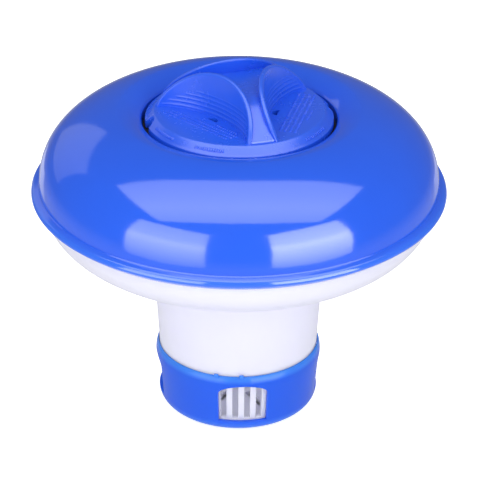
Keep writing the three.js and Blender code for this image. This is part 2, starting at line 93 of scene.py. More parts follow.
# ---- Lid ----
LID_RADIUS = lid_high[0]
ARCH_HEIGHT = 13.2
LID_TOP = lid_high[2] - ARCH_HEIGHT
LID_GAP = 1.1
LID_BEVEL = 2.7
LID_RIM_DEPTH = 4.7
LID_PLATE = 2.0
SKIRT_IN = 2.9
SKIRT_WALL = 1.6
LUG_REACH = 1.4
LUG_HEIGHT = 2.1
LUG_ABOVE_EDGE = 0.3
LUG_HALF = np.radians(15)
LUG_TURNS = np.radians([13, 193])
LOCK_TURN = np.radians(60)
NOTCH_RADIUS = 2.3
MOUTH_RADIUS = LID_RADIUS + LID_GAP
SEAT_Z = seal_low[2] - 0.25
WELL_RADIUS = LID_RADIUS - SKIRT_IN + LUG_REACH + RUNNING_GAP

# ---- Grip of the lid ----
SCOOP_TURNS = np.radians([106.4, 226.4, 346.4])
GRIP_RADIUS = LID_RADIUS - LID_BEVEL - 0.5
ARCH_SPREAD = np.radians(49.6)
ARCH_BULGE = 9.1
ARCH_PLAN_POWER = 1.33
ARCH_TOP_POWER = 1.15
ARCH_LEAN = 0.12
ARCH_WALL = 1.5
MOUND_HEIGHT = 9.0
MOUND_SOFT = 1.6
MOUND_FLOOR = -0.3
MOUND_EDGE_UP = 4.0
RAMP_SLOPE = np.tan(np.radians(41))
VENT_RADIUS = 1.9
VENT_OUT = 11.0
GRIP_LINES = 5
GRIP_LINE_LOW = 0.9
GRIP_LINE_PITCH = 1.3
GRIP_LINE_RISE = 0.15
GRIP_TOP = 7.6
MARK_RISE = 0.26

# ---- Canister and collar ----
HULL_BOTTOM = hull_low[2]
NECK_RADIUS = WELL_RADIUS - 0.7
NECK_DRAFT = 0.06
BASKET_DRAFT = 0.08
COLLAR_TOP = 20.8
BASKET_TOP = COLLAR_TOP - 2.2
FLOOR_UNDERSIDE = 2.1
FLOOR_TOP = 3.6
FOOT_IN = 3.4
HULL_SLEEVE = 7
SLOT_WIDTH = 1.9
SLOT_PITCH = 3.72
SLOT_LOW = 4.95
SLOT_TURN = np.radians(2.6)
COLLAR_WALL = 1.1
COLLAR_CORNER = 4.1
SHOULDER_DOWN = 3.9
SHOULDER_IN = 0.98
WINDOW_WIDTH = 14.9
WINDOW_LOW = 4.5
WINDOW_HIGH = COLLAR_TOP - 3.2
WINDOW_ARCH = 3.0
WINDOW_TURN = np.radians(3.6)
QUARTERS = np.radians([-90, 0, 90, 180])
PIP_TURNS = np.radians([-105.2, -87.5])

# ---- Sizes of the plastic's patterns, in metres ----
MELT_FLOW = 0.018
SMEAR = 0.009
ORANGE_PEEL = 0.0025
GRAIN = 0.00025

# ---- Studio, in metres ----
SURROUND = 0.52
BACKDROP = 1.05
MIRROR_HIGH = 0.17
MIRROR_LOW = 0.5
FLOOR_GLOW = 0.25
FLOOR_REACH = 3.0
FLOOR_BELOW = 0.0004
DOME = (0, 0, 0.095)
FRONT_BOX = [(0, 0.3), (1, 0.55), (0.2, 0.6), (0.5, 1.0), (0.62, 0.75)]
OVERHEAD_BOX = [(0, 0.75), (1, 0.65), (0.45, 1.0)]
STRIP = [(0, 0.6), (1, 1.0)]

# ---- Camera ----
VIEW_RISE = np.radians(26.89)
VIEW_ROLL = np.radians(0.35)
VIEW_RADII_AWAY = 13
AIM_DOWN = 0.0146
AIM_RIGHT = 0.0004
LENS_MM = 195.6


# ---------------------------------------------------------------- outlines and surfaces

def rounded(corners, steps=5):
    """An outline of [radius, height] points from corners (radius, height, rounding): each corner becomes an
    arc that touches both of its sides at the distance rounding / tan(half the corner's angle)."""
    corners = np.array(corners, float)
    points = []
    for before, here, after in zip(np.roll(corners, 1, 0), corners, np.roll(corners, -1, 0)):
        back, on = before[:2] - here[:2], after[:2] - here[:2]
        room = min(np.hypot(*back), np.hypot(*on)) * 0.49
        back, on = back / np.hypot(*back), on / np.hypot(*on)
        half = np.arccos(np.clip(back @ on, -1, 1)) / 2
        reach = min(here[2] / max(np.tan(half), 1e-6), room)
        if here[2] == 0 or half > 1.56:
            points.append(here[:2])
            continue
        middle = here[:2] + (back + on) / np.hypot(*(back + on)) * reach / np.cos(half)
        first, last = here[:2] + back * reach - middle, here[:2] + on * reach - middle
        share = np.linspace(0, 1, steps + 1)[:, None]
        arc = first * (1 - share) + last * share
        arc *= np.hypot(*first) / np.hypot(arc[:, 0], arc[:, 1])[:, None]
        points.extend(middle + arc)
    return np.array(points)


def net(rows, columns, wrap_rows=True, wrap_columns=True):
    """Corners of the cells of a grid whose rows and columns may each close on themselves."""
    row_starts = np.arange(rows if wrap_rows else rows - 1)
    column_starts = np.arange(columns if wrap_columns else columns - 1)
    r, c = np.meshgrid(row_starts, column_starts, indexing="ij")
    r1, c1 = (r + 1) % rows, (c + 1) % columns
    corners = [r * columns + c, r1 * columns + c, r1 * columns + c1, r * columns + c1]
    return np.stack(corners, -1).reshape(-1, 4)


def turned(outline, turns=240):
    """A closed outline turned once round Z: (r, z) -> (r cos a, r sin a, z)."""
    angle = np.linspace(0, FULL_TURN, turns, endpoint=False)[:, None]
    r, z = outline[None, :, 0], outline[None, :, 1]
    points = polar(r, angle, z)
    return points.reshape(-1, 3), net(turns, len(outline)).tolist()


def swept(outline, start, end, steps=24):
    """A closed outline carried round Z from one angle to another, with a flat cap at each end."""
    angle = np.linspace(start, end, steps)[:, None]
    r, z = outline[None, :, 0], outline[None, :, 1]
    points = polar(r, angle, z)
    cells = net(steps, len(outline), wrap_rows=False).tolist()
    count = len(outline)
    caps = [list(range(count)), list(range(count * (steps - 1), count * steps))]
    return points.reshape(-1, 3), cells + caps


def walled(outside, inside, kept, wrap=True):
    """Two grids of points with the same cells, the kept cells of each, and a wall between them along each
    free edge, which is an edge whose other way round belongs to no kept cell."""
    rows, columns = outside.shape[:2]
    cells = net(rows, columns, wrap, False)[kept.ravel()]
    starts = cells.ravel()
    ends = np.roll(cells, -1, 1).ravel()
    count = rows * columns
    free = ~np.isin(starts * count + ends, ends * count + starts)
    starts, ends = starts[free], ends[free]
    wall = np.stack([ends, starts, starts + count, ends + count], -1)
    points = np.concatenate([outside.reshape(-1, 3), inside.reshape(-1, 3)])
    return points, np.concatenate([cells, cells[:, ::-1] + count, wall]).tolist()


def joined(shells):
    """Several shells as one list of points and one of faces."""
    points, faces, count = [], [], 0
    for shell_points, shell_faces in shells:
        points.append(shell_points)
        faces.extend([[corner + count for corner in face] for face in shell_faces])
        count += len(shell_points)
    return np.concatenate(points), faces


def made(name, shells, sharp=35):
    """A mesh object in metres from shells in millimetres, merged where points meet, its faces outward."""
    points, faces = joined(shells)
    mesh = bpy.data.meshes.new(name)
    mesh.from_pydata((points * MM).tolist(), [], faces)
    work = bmesh.new()
    work.from_mesh(mesh)
    bmesh.ops.remove_doubles(work, verts=work.verts, dist=1e-7)
    loose = [vertex for vertex in work.verts if not vertex.link_faces]
    bmesh.ops.delete(work, geom=loose, context="VERTS")
    bmesh.ops.recalc_face_normals(work, faces=work.faces)
    work.to_mesh(mesh)
    work.free()
    mesh.shade_smooth()
    mesh.set_sharp_from_angle(angle=np.radians(sharp))
    piece = bpy.data.objects.new(name, mesh)
    bpy.context.scene.collection.objects.link(piece)
    return piece


def softened(piece, width, segments=2):
    """Rounds the sharp edges of a piece by a bevel of that width in millimetres."""
    bevel = piece.modifiers.new("soft_edges", "BEVEL")
    bevel.width = width * MM
    bevel.segments = segments
    bevel.limit_method = "ANGLE"
    bevel.angle_limit = np.radians(40)
    bevel.harden_normals = True
    return piece


def fitted(piece, finish, body, slot, *nodes):
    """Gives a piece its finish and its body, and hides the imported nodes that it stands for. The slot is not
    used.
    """
    piece.data.materials.append(finish)
    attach(piece, body)
    if nodes:
        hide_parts(*nodes)
    return piece


def polar(radius, angle, height):
    """Points from radius, angle and height, broadcast together."""
    radius, angle, height = np.broadcast_arrays(radius, angle, height)
    return np.stack([radius * np.cos(angle), radius * np.sin(angle), height], -1)


# ---------------------------------------------------------------- top shell

def dome_skin(inset, steps):
    """The dome from rim to mouth: a quarter oval r = crown + reach cos^p t, z = base + rise sin^q t, then a
    parabola that falls from the crown to the mouth."""
    base = RIM_Z + DOME_START_UP
    rise = CROWN_Z - base - inset
    crown = MOUTH_RADIUS + CROWN_OUT
    reach = RIM_RADIUS - DOME_FOOT_IN - inset - crown
    mouth = MOUTH_RADIUS + inset + MOUTH_ROUND
    first = np.arcsin(((RIM_TOP_UP - DOME_START_UP) / rise) ** (1 / DOME_ROUND_UP))
    turn = first + (np.pi / 2 - first) * np.linspace(0, 1, steps) ** 1.6
    side = np.stack([crown + reach * np.cos(turn).clip(0) ** DOME_ROUND_OUT,
                     base + rise * np.sin(turn) ** DOME_ROUND_UP], -1)
    radius = np.linspace(crown, mouth, steps // 3)[1:]
    fall = ((crown - radius) / (crown - mouth)) ** 2
    inner = np.stack([radius, base + rise - (MOUTH_DROP - MOUTH_ROUND) * fall], -1)
    return np.concatenate([side, inner])


def plain(points):
    """Outline points with no rounding of their own."""
    return [(radius, height, 0) for radius, height in points]


def top_shell():
    """The rim, the dome, the mouth with its seat and the sleeve, all one turned outline, with the lid's
    ledges inside it and four ticks in front of the mouth."""
    outside = dome_skin(0, 72)
    inside = dome_skin(SHELL_WALL, 30)[::-1]
    foot = RIM_RADIUS - DOME_FOOT_IN
    outline = rounded([
        (foot - SHELL_WALL, RIM_Z, 0.2),
        (RIM_RADIUS - RIM_EDGE_IN, RIM_Z, 0.4),
        (RIM_RADIUS + RIM_ROUNDED_OFF, RIM_Z + RIM_WIDEST_UP, 1.2),
        (RIM_RADIUS - RIM_SHOULDER_IN, RIM_Z + RIM_SHOULDER_UP, 1.2),
        (foot + 0.25, RIM_Z + RIM_TOP_UP, 0.25),
        *plain(outside[2:-1]),
        (*outside[-1], 0.3),
        (MOUTH_RADIUS, outside[-1][1] - 0.6, 0.4),
        (MOUTH_RADIUS, SEAT_Z, 0.2),
        (WELL_RADIUS, SEAT_Z, 0.3),
        (WELL_RADIUS, RIM_Z + SLEEVE_UP, 0.3),
        (WELL_RADIUS + SHELL_WALL, RIM_Z + SLEEVE_UP, 0.3),
        (WELL_RADIUS + SHELL_WALL, SEAT_Z - 2 * SHELL_WALL, 0.3),
        (MOUTH_RADIUS + SHELL_WALL, SEAT_Z - SHELL_WALL, 0.3),
        *plain(inside),
    ])
    return made("top_shell_moulding", [turned(outline, 288), *ledges(), *mouth_marks()])


def ledges():
    """Two ledges in the well that the lid's lugs turn under, and a stop at each end of each lug's way."""
    near = LID_RADIUS - SKIRT_IN + RUNNING_GAP
    high = SEAT_Z - 1.0
    low = high - 2.3
    buried = WELL_RADIUS + 0.4
    section = rounded([(near, low, 0.2), (buried, low, 0), (buried, high, 0), (near, high, 0.2)], 3)
    gap = LUG_HALF + np.radians(3)
    shells = []
    for lug in LUG_TURNS:
        shells.append(swept(section, lug + gap, lug + np.pi - gap, 60))
        for stop in (lug + LUG_HALF + np.radians(4), lug - LOCK_TURN - LUG_HALF - np.radians(4)):
            rib = rounded([(WELL_RADIUS - 1.0, low - 2.4, 0.2), (buried, low - 2.4, 0),
                           (buried, low + 0.4, 0), (WELL_RADIUS - 1.0, low + 0.4, 0)], 3)
            shells.append(swept(rib, stop - 0.037, stop + 0.037, 4))
    return shells


def pebbles(centres, across, along, sizes):
    """Small raised marks: a ball whose plan is squared off, |cos u|^0.5 cos^0.6 v and |sin u|^0.5 cos^0.6 v
    with their signs, and z = sin v, stretched to half sizes along two directions and their normal."""
    round_turn = np.linspace(0, FULL_TURN, 12, endpoint=False)
    u, v = np.meshgrid(round_turn, np.linspace(-np.pi / 2, np.pi / 2, 7), indexing="ij")
    x = np.sign(np.cos(u)) * np.abs(np.cos(u)) ** 0.5 * np.cos(v) ** 0.6
    y = np.sign(np.sin(u)) * np.abs(np.sin(u)) ** 0.5 * np.cos(v) ** 0.6
    unit = np.stack([x, y, np.sin(v)], -1).reshape(-1, 3)
    up = np.cross(across, along)
    frames = np.stack([across, along, up], 1) * sizes[:, :, None]
    points = centres[:, None, :] + unit[None] @ frames
    cells = net(12, 7, True, False)
    return [(cloud, cells.tolist()) for cloud in points]


def mouth_marks():
    """Four small raised ticks on the dome's slope in front of the mouth."""
    angle = np.radians(-90) + np.array([-0.225, -0.066, 0.1, 0.146])
    radius = MOUTH_RADIUS + 2.8
    height = CROWN_Z - (MOUTH_DROP - MOUTH_ROUND) * ((CROWN_OUT - 2.8) / (CROWN_OUT - MOUTH_ROUND)) ** 2
    centres = polar(radius, angle, height)
    across = polar(1, angle + np.pi / 2, np.zeros(4))
    slope = 2 * (MOUTH_DROP - MOUTH_ROUND) * (CROWN_OUT - 2.8) / (CROWN_OUT - MOUTH_ROUND) ** 2
    along = polar(1, angle, slope) / np.hypot(1, slope)
    sizes = np.array([[0.3, 0.45, 0.22], [0.35, 0.35, 0.22], [0.28, 0.5, 0.22], [0.45, 0.3, 0.22]])
    return pebbles(centres, across, -along, sizes)


# ---------------------------------------------------------------- hull, canister and collar

def neck_radius(height):
    """The neck is straight above the hull's bottom and loses NECK_DRAFT per millimetre below it."""
    return NECK_RADIUS - np.maximum(HULL_BOTTOM - height, 0) * NECK_DRAFT


def basket_radius(height):
    """The slotted basket goes on from the neck and loses BASKET_DRAFT per millimetre."""
    return neck_radius(BASKET_TOP) - (BASKET_TOP - height) * BASKET_DRAFT


def hull_skin(inset, steps):
    """A quarter ellipse from the rim in to the canister: r = hole + reach cos t, z = rim - depth sin t."""
    hole = NECK_RADIUS + WELD_GAP
    turn = np.linspace(0, np.pi / 2, steps)
    low = HULL_BOTTOM + inset
    top = RIM_Z - WELD_GAP
    radius = hole + (hull_high[0] - inset - hole) * np.cos(turn)
    return np.stack([radius, top - (top - low) * np.sin(turn)], -1)


def bottom_shell():
    """The hull's two quarter ellipses as one turned outline, with a short sleeve round the canister and a
    tongue that stands up inside the dome's foot."""
    hole = NECK_RADIUS + WELD_GAP
    tongue = RIM_RADIUS - DOME_FOOT_IN - SHELL_WALL - WELD_GAP
    top = RIM_Z - WELD_GAP
    inside = hull_skin(SHELL_WALL, 40)
    inside = inside[inside[:, 0] > hole + SHELL_WALL + 0.3][1:]
    outline = rounded([
        (hole, HULL_BOTTOM, 0.5),
        *plain(hull_skin(0, 64)[::-1][1:-1]),
        (hull_high[0], top, 0.3),
        (tongue, top, 0),
        (tongue, hull_high[2], 0.3),
        (tongue - SHELL_WALL, hull_high[2], 0.3),
        (tongue - SHELL_WALL, top, 0),
        *plain(inside),
        (hole + SHELL_WALL, inside[-1][1], 0.5),
        (hole + SHELL_WALL, HULL_BOTTOM + HULL_SLEEVE, 0.3),
        (hole, HULL_BOTTOM + HULL_SLEEVE, 0.3),
    ])
    return made("hull_moulding", [turned(outline, 240)])


def columns_round(edges, spacing):
    """Angles round the axis that include every given edge, with no gap wider than the spacing."""
    edges = np.sort(np.mod(edges, FULL_TURN))
    gaps = np.diff(np.append(edges, edges[0] + FULL_TURN))
    parts = np.maximum(np.ceil(gaps / spacing).astype(int), 1)
    return np.concatenate([edge + gap * np.arange(n) / n for edge, gap, n in zip(edges, gaps, parts)])


def slot_angles():
    """Middle angle of each drain slot, four in each of four groups."""
    radius = basket_radius((SLOT_LOW + WINDOW_HIGH) / 2)
    offsets = (np.arange(4) - 1.5) * SLOT_PITCH / radius
    return (QUARTERS[:, None] + SLOT_TURN + offsets).ravel()


def canister_wall():
    """The neck and the basket as two skins, outside and inside, with the slots left out of both."""
    half = SLOT_WIDTH / 2 / basket_radius(SLOT_LOW)
    middles = slot_angles()
    angle = columns_round(np.concatenate([middles - half, middles + half]), np.radians(2))
    slot_high = WINDOW_HIGH - 0.4
    flange = RIM_Z + SLEEVE_UP - WELD_GAP
    height = np.concatenate([
        [FLOOR_UNDERSIDE, FLOOR_UNDERSIDE + 1.2, 3.45, 3.85, 4.35],
        np.linspace(SLOT_LOW, slot_high, 6), [BASKET_TOP],
        np.linspace(BASKET_TOP + 2, HULL_BOTTOM, 8), [HULL_BOTTOM + 8, flange],
    ])
    outer = np.where(height < BASKET_TOP, basket_radius(height), neck_radius(height))
    outer[0] -= 1.2
    outer[3] += 0.45
    inner = np.where(height < BASKET_TOP, basket_radius(height), neck_radius(height)) - CANISTER_WALL
    outside = polar(outer, angle[:, None], height)
    inside = polar(inner, angle[:, None], height)
    middle = angle + np.diff(np.append(angle, angle[0] + FULL_TURN)) / 2
    off = np.abs((middle[:, None] - middles + np.pi) % FULL_TURN - np.pi).min(1)
    level = (height[1:] + height[:-1]) / 2
    cut = (off < half)[:, None] & ((level > SLOT_LOW) & (level < slot_high))[None]
    return walled(outside, inside, ~cut)


def canister_floor():
    """The floor as two flat grids with six radial drain slots of even width left out: inside a slot's sector
    the grid's columns run parallel to the slot, so their angle is asin(offset / radius)."""
    radius = np.array([0.02, 3, 6, 9, 12, 15, 18, 21.2])
    offset = np.array([-1.0, -0.5, 0, 0.5, 1.0])
    slots = FULL_TURN * np.arange(6) / 6
    inner = slots[:, None, None] + np.arcsin((offset[:, None] / np.maximum(radius, 2.2))[None])
    between = slots[:, None, None] + np.linspace(0.32, 0.73, 8)[None, :, None] + np.zeros(len(radius))
    angle = np.concatenate([inner, between], 1).reshape(-1, len(radius))
    kept = np.ones((len(angle), len(radius) - 1), bool)
    columns = np.arange(len(angle)) % 13
    kept[np.ix_(columns < 4, (radius[:-1] >= 6) & (radius[1:] <= 15))] = False
    upper = polar(radius, angle, FLOOR_TOP)
    lower = polar(radius, angle, FLOOR_UNDERSIDE)
    return walled(upper, lower, kept)


def tablet_canister():
    """The slotted wall and the floor, with two turned rings: the foot under the floor, and the flange that is
    welded under the well's sleeve."""
    foot = basket_radius(FLOOR_UNDERSIDE) - FOOT_IN
    foot_ring = rounded([(foot - 2.4, 0, 0.3), (foot, 0, 0.4), (foot, FLOOR_UNDERSIDE + 0.4, 0.2),
                         (foot - 2.4, FLOOR_UNDERSIDE + 0.4, 0.2)], 4)
    flange = RIM_Z + SLEEVE_UP - WELD_GAP
    bore = NECK_RADIUS - CANISTER_WALL
    flange_ring = rounded([(NECK_RADIUS - 0.4, flange - 1.5, 0), (can_high[0], flange - 1.5, 0.3),
                           (can_high[0], flange, 0.3), (WELL_RADIUS - WELD_GAP, flange, 0.1),
                           (WELL_RADIUS - WELD_GAP, can_high[2], 0.3), (bore, can_high[2], 0.3),
                           (bore, flange, 0)], 4)
    shells = [canister_wall(), canister_floor(), turned(foot_ring, 120), turned(flange_ring, 180)]
    return softened(made("canister_moulding", shells), 0.22)


def window_top(across):
    """Height of a window's top edge at a distance x across it: the flat half of an ellipse,
    high - arch (1 - sqrt(1 - (x / half width)^2))."""
    share = np.clip(across / (WINDOW_WIDTH / 2), -1, 1)
    return WINDOW_HIGH - WINDOW_ARCH * (1 - np.sqrt(1 - share ** 2))


def flow_collar():
    """Outside and inside skins of the collar with the windows left out. The grid's line along the windows'
    top follows window_top, and eases back to a level line between the windows."""
    radius = basket_radius(WINDOW_LOW)
    half = np.arcsin(WINDOW_WIDTH / 2 / (radius + RUNNING_GAP + COLLAR_WALL))
    middles = QUARTERS + WINDOW_TURN
    fine = np.sin(np.linspace(-np.pi / 2, np.pi / 2, 33)) * half
    edges = (middles[:, None] + fine).ravel()
    angle = columns_round(edges, np.radians(2.2))
    off = (angle[:, None] - middles + np.pi) % FULL_TURN - np.pi
    off = off[np.arange(len(angle)), np.abs(off).argmin(1)]
    across = np.clip(np.sin(off) / np.sin(half), -1, 1) * WINDOW_WIDTH / 2
    ease = np.clip((np.abs(off) - half) / np.radians(10), 0, 1)
    top_line = window_top(across) * (1 - ease) + (WINDOW_HIGH - 2) * ease

    lip = collar_low[2]
    corner = lip + COLLAR_CORNER
    turn = np.linspace(0, np.pi / 2, 9)
    shoulder = COLLAR_TOP - SHOULDER_DOWN

    def wall(height):
        """Outer radius of the straight drafted wall."""
        return basket_radius(height) + RUNNING_GAP + COLLAR_WALL

    def skin(height):
        """Outer radius at a height: round corner, straight draft, then the shoulder's quarter ellipse."""
        down = np.clip((corner - height) / COLLAR_CORNER, 0, 1)
        low = wall(corner) - COLLAR_CORNER * (1 - np.sqrt(1 - down ** 2))
        up = np.clip((height - shoulder) / SHOULDER_DOWN, 0, 1)
        high = wall(shoulder) - SHOULDER_IN * (1 - np.sqrt(1 - up ** 2))
        return np.where(height < corner, low, np.where(height > shoulder, high, wall(height)))

    def bore(height):
        """Inner radius at a height: clear of the neck, the basket and its lower corner by the running gap."""
        inner = np.where(height > BASKET_TOP, neck_radius(height), basket_radius(height)) + RUNNING_GAP
        return inner - np.clip(3.0 - height, 0, 1.2)

    foot = basket_radius(FLOOR_UNDERSIDE) - FOOT_IN + RUNNING_GAP
    low_heights = corner - COLLAR_CORNER * np.cos(turn)
    low_heights[0] = lip
    rows = [np.full(len(angle), height) for height in low_heights[:-1]]
    rows += [np.full(len(angle), WINDOW_LOW)]
    shares = np.linspace(0, 1, 8)[1:]
    rows += [WINDOW_LOW + (top_line - WINDOW_LOW) * share for share in shares]
    crown = COLLAR_TOP - np.array([2.2, 1.2, 0.5, 0.15, 0])
    start = WINDOW_HIGH + 0.6
    rows += [top_line + (start - top_line) * share for share in (0.3, 0.65)]
    rows += [np.full(len(angle), height) for height in np.concatenate([[start], crown])]
    height = np.stack(rows, 1)
    outer = skin(height)
    inner_height = np.maximum(height, lip + 1.4)
    inner = bore(inner_height)
    outside = polar(outer, angle[:, None], height)
    inside = polar(inner, angle[:, None], inner_height)
    foot_out = polar(np.full(len(angle), foot), angle, lip)[:, None]
    foot_in = polar(np.full(len(angle), foot), angle, lip + 1.4)[:, None]
    outside = np.concatenate([foot_out, outside], 1)
    inside = np.concatenate([foot_in, inside], 1)
    middle = np.mod(angle + np.diff(np.append(angle, angle[0] + FULL_TURN)) / 2, FULL_TURN)
    near = np.abs((middle[:, None] - middles + np.pi) % FULL_TURN - np.pi).min(1) < half
    window_rows = np.zeros(outside.shape[1] - 1, bool)
    first = len(low_heights)
    window_rows[first:first + len(shares)] = True
    kept = ~(near[:, None] & window_rows[None])
    shells = [walled(outside, inside, kept), *pips()]
    return softened(made("collar_moulding", shells), 0.2)


def pips():
    """Two small round setting pips on the collar's top edge."""
    centres = polar(neck_radius(COLLAR_TOP) + RUNNING_GAP + 0.45, PIP_TURNS, COLLAR_TOP + 0.05)
    across = polar(1, PIP_TURNS + np.pi / 2, np.zeros(2))
    along = np.tile([0.0, 0.0, 1.0], (2, 1))
    return pebbles(centres, across, along, np.tile([0.75, 0.75, 0.42], (2, 1)))


# ---------------------------------------------------------------- lid

def arch_line(turn):
    """The arch's top line in the scoop's frame, x across and y outward: x = w sin t and
    y = foot - bulge cos^p t, and its height above the lid's face h = H cos^q t."""
    opening = np.cos(turn).clip(1e-6)
    x = GRIP_RADIUS * np.sin(ARCH_SPREAD) * np.sin(turn)
    y = GRIP_RADIUS * np.cos(ARCH_SPREAD) - ARCH_BULGE * opening ** ARCH_PLAN_POWER
    return x, y, ARCH_HEIGHT * opening ** ARCH_TOP_POWER


def arch_point(turn, offset, height):
    """A point of the arch's wall: from the top line, sideways by an offset towards the scoop, and outward by
    ARCH_LEAN for each millimetre below the top line."""
    x, y, top = arch_line(turn)
    ahead, behind = arch_line(turn + 0.01), arch_line(turn - 0.01)
    dx, dy = ahead[0] - behind[0], ahead[1] - behind[1]
    length = np.hypot(dx, dy)
    return x - dy / length * offset, y + dx / length * offset + ARCH_LEAN * (top - height), height


def in_place(x, y, height, scoop):
    """Turns points from a scoop's frame to the lid's, and lifts them to its top face."""
    turn = scoop - np.pi / 2
    x, y, height = np.broadcast_arrays(x, y, height)
    turned_x = x * np.cos(turn) - y * np.sin(turn)
    turned_y = x * np.sin(turn) + y * np.cos(turn)
    return np.stack([turned_x, turned_y, LID_TOP + height], -1)


def arch_wall(scoop):
    """One arched wall: a section with a full-round top carried along the arch. On the scoop's side it has
    raised grip lines, each bump a cos^2 of height, longest at the foot, with their ends set back in steps."""
    turn = np.sin(np.linspace(-np.pi / 2, np.pi / 2, 121))[:, None] * (np.pi / 2 - 0.02)
    half = ARCH_WALL / 2
    top = arch_line(turn)[2]
    side = np.maximum(top - ARCH_WALL / 2, -1.0)
    level = np.concatenate([[-1.0, -0.4], np.linspace(0, GRIP_TOP, 77)])
    share = np.linspace(0, 1, 12)[1:]
    low = np.minimum(level, side)
    high = side + np.maximum(side - GRIP_TOP, 0) * (share - 1)
    front = np.concatenate([low, high], 1)
    offset = np.full_like(front, half)
    for line in range(GRIP_LINES):
        middle = GRIP_LINE_LOW + line * GRIP_LINE_PITCH
        ahead = np.clip((np.radians(74 - 11.5 * line) - turn) / 0.09, 0, 1)
        behind = np.clip((np.radians(74 - 5 * line) + turn) / 0.09, 0, 1)
        bump = np.cos(np.clip((front - middle) / 0.42, -1, 1) * np.pi / 2) ** 2
        offset += GRIP_LINE_RISE * (1 - 0.12 * line) * bump * ahead * behind * (side > middle + 0.6)
    round_turn = np.linspace(0, np.pi, 13)[1:-1]
    cap_height = side + (top - side) * np.sin(round_turn)
    cap_offset = half * np.cos(round_turn) + np.zeros_like(top)
    back = side + (-1.0 - side) * np.linspace(0, 1, 10)
    height = np.concatenate([front, cap_height, back], 1)
    offsets = np.concatenate([offset, cap_offset, np.full_like(back, -half)], 1)
    points = in_place(*arch_point(turn, offsets, height), scoop)
    rows, columns = points.shape[:2]
    faces = net(rows, columns, wrap_rows=False).tolist()
    caps = [list(range(columns)), list(range(columns * (rows - 1), columns * rows))]
    return points.reshape(-1, 3), faces + caps


def mound_height(x, y, valley):
    """Height of the mound: the ramp (grip radius - d) times its slope, d the distance out along the valley,
    kept under the flat top by a smooth minimum."""
    out = x * np.cos(valley) + y * np.sin(valley)
    ramp = (GRIP_RADIUS - out) * RAMP_SLOPE
    height = -MOUND_SOFT * np.logaddexp(-ramp / MOUND_SOFT, -MOUND_HEIGHT / MOUND_SOFT)
    return np.maximum(height, MOUND_FLOOR)


def mound():
    """Three valleys, each a ruled surface between the middle lines of two arches, and the flat top."""
    shells = []
    turn = np.linspace(0, np.pi / 2 - 0.01, 70)[:, None]
    across = np.linspace(0, 1, 21)[None]
    for scoop in SCOOP_TURNS:
        nearer = in_place(*arch_point(turn, 0, MOUND_EDGE_UP), scoop)
        further = in_place(*arch_point(-turn, 0, MOUND_EDGE_UP), scoop - FULL_TURN / 3)
        plan = nearer * (1 - across[..., None]) + further * across[..., None]
        valley = scoop - FULL_TURN / 6
        height = mound_height(plan[..., 0], plan[..., 1], valley)
        upper = np.concatenate([plan[..., :2], (LID_TOP + height)[..., None]], -1)
        lower = np.concatenate([plan[..., :2], np.full_like(height, LID_TOP - 1.0)[..., None]], -1)
        every_cell = np.ones((len(turn) - 1, across.shape[1] - 1), bool)
        shells.append(walled(upper, lower, every_cell, False))
    middles = [in_place(*arch_point(np.zeros(1), 0, MOUND_EDGE_UP), scoop)[0] for scoop in SCOOP_TURNS]
    corners = np.array(middles)
    top, bottom = corners.copy(), corners.copy()
    top[:, 2] = LID_TOP + MOUND_HEIGHT - 0.001
    bottom[:, 2] = LID_TOP - 1.0
    prism = [[0, 1, 2], [5, 4, 3], [0, 3, 4, 1], [1, 4, 5, 2], [2, 5, 3, 0]]
    shells.append((np.concatenate([top, bottom]), prism))
    return shells


def notch_reach(angle):
    """Radius of the lid's edge at an angle: the full radius, or inside a notch, the near side of its circle,
    r = R cos d - sqrt(n^2 - R^2 sin^2 d) for an angle d from the notch's middle."""
    off = (angle[:, None] - LUG_TURNS + np.pi) % FULL_TURN - np.pi
    off = np.abs(off).min(1)
    inside = NOTCH_RADIUS ** 2 - (LID_RADIUS * np.sin(off)) ** 2
    near = LID_RADIUS * np.cos(off) - np.sqrt(np.maximum(inside, 0))
    return np.where((inside >= 0) & (off < 1), near, LID_RADIUS)


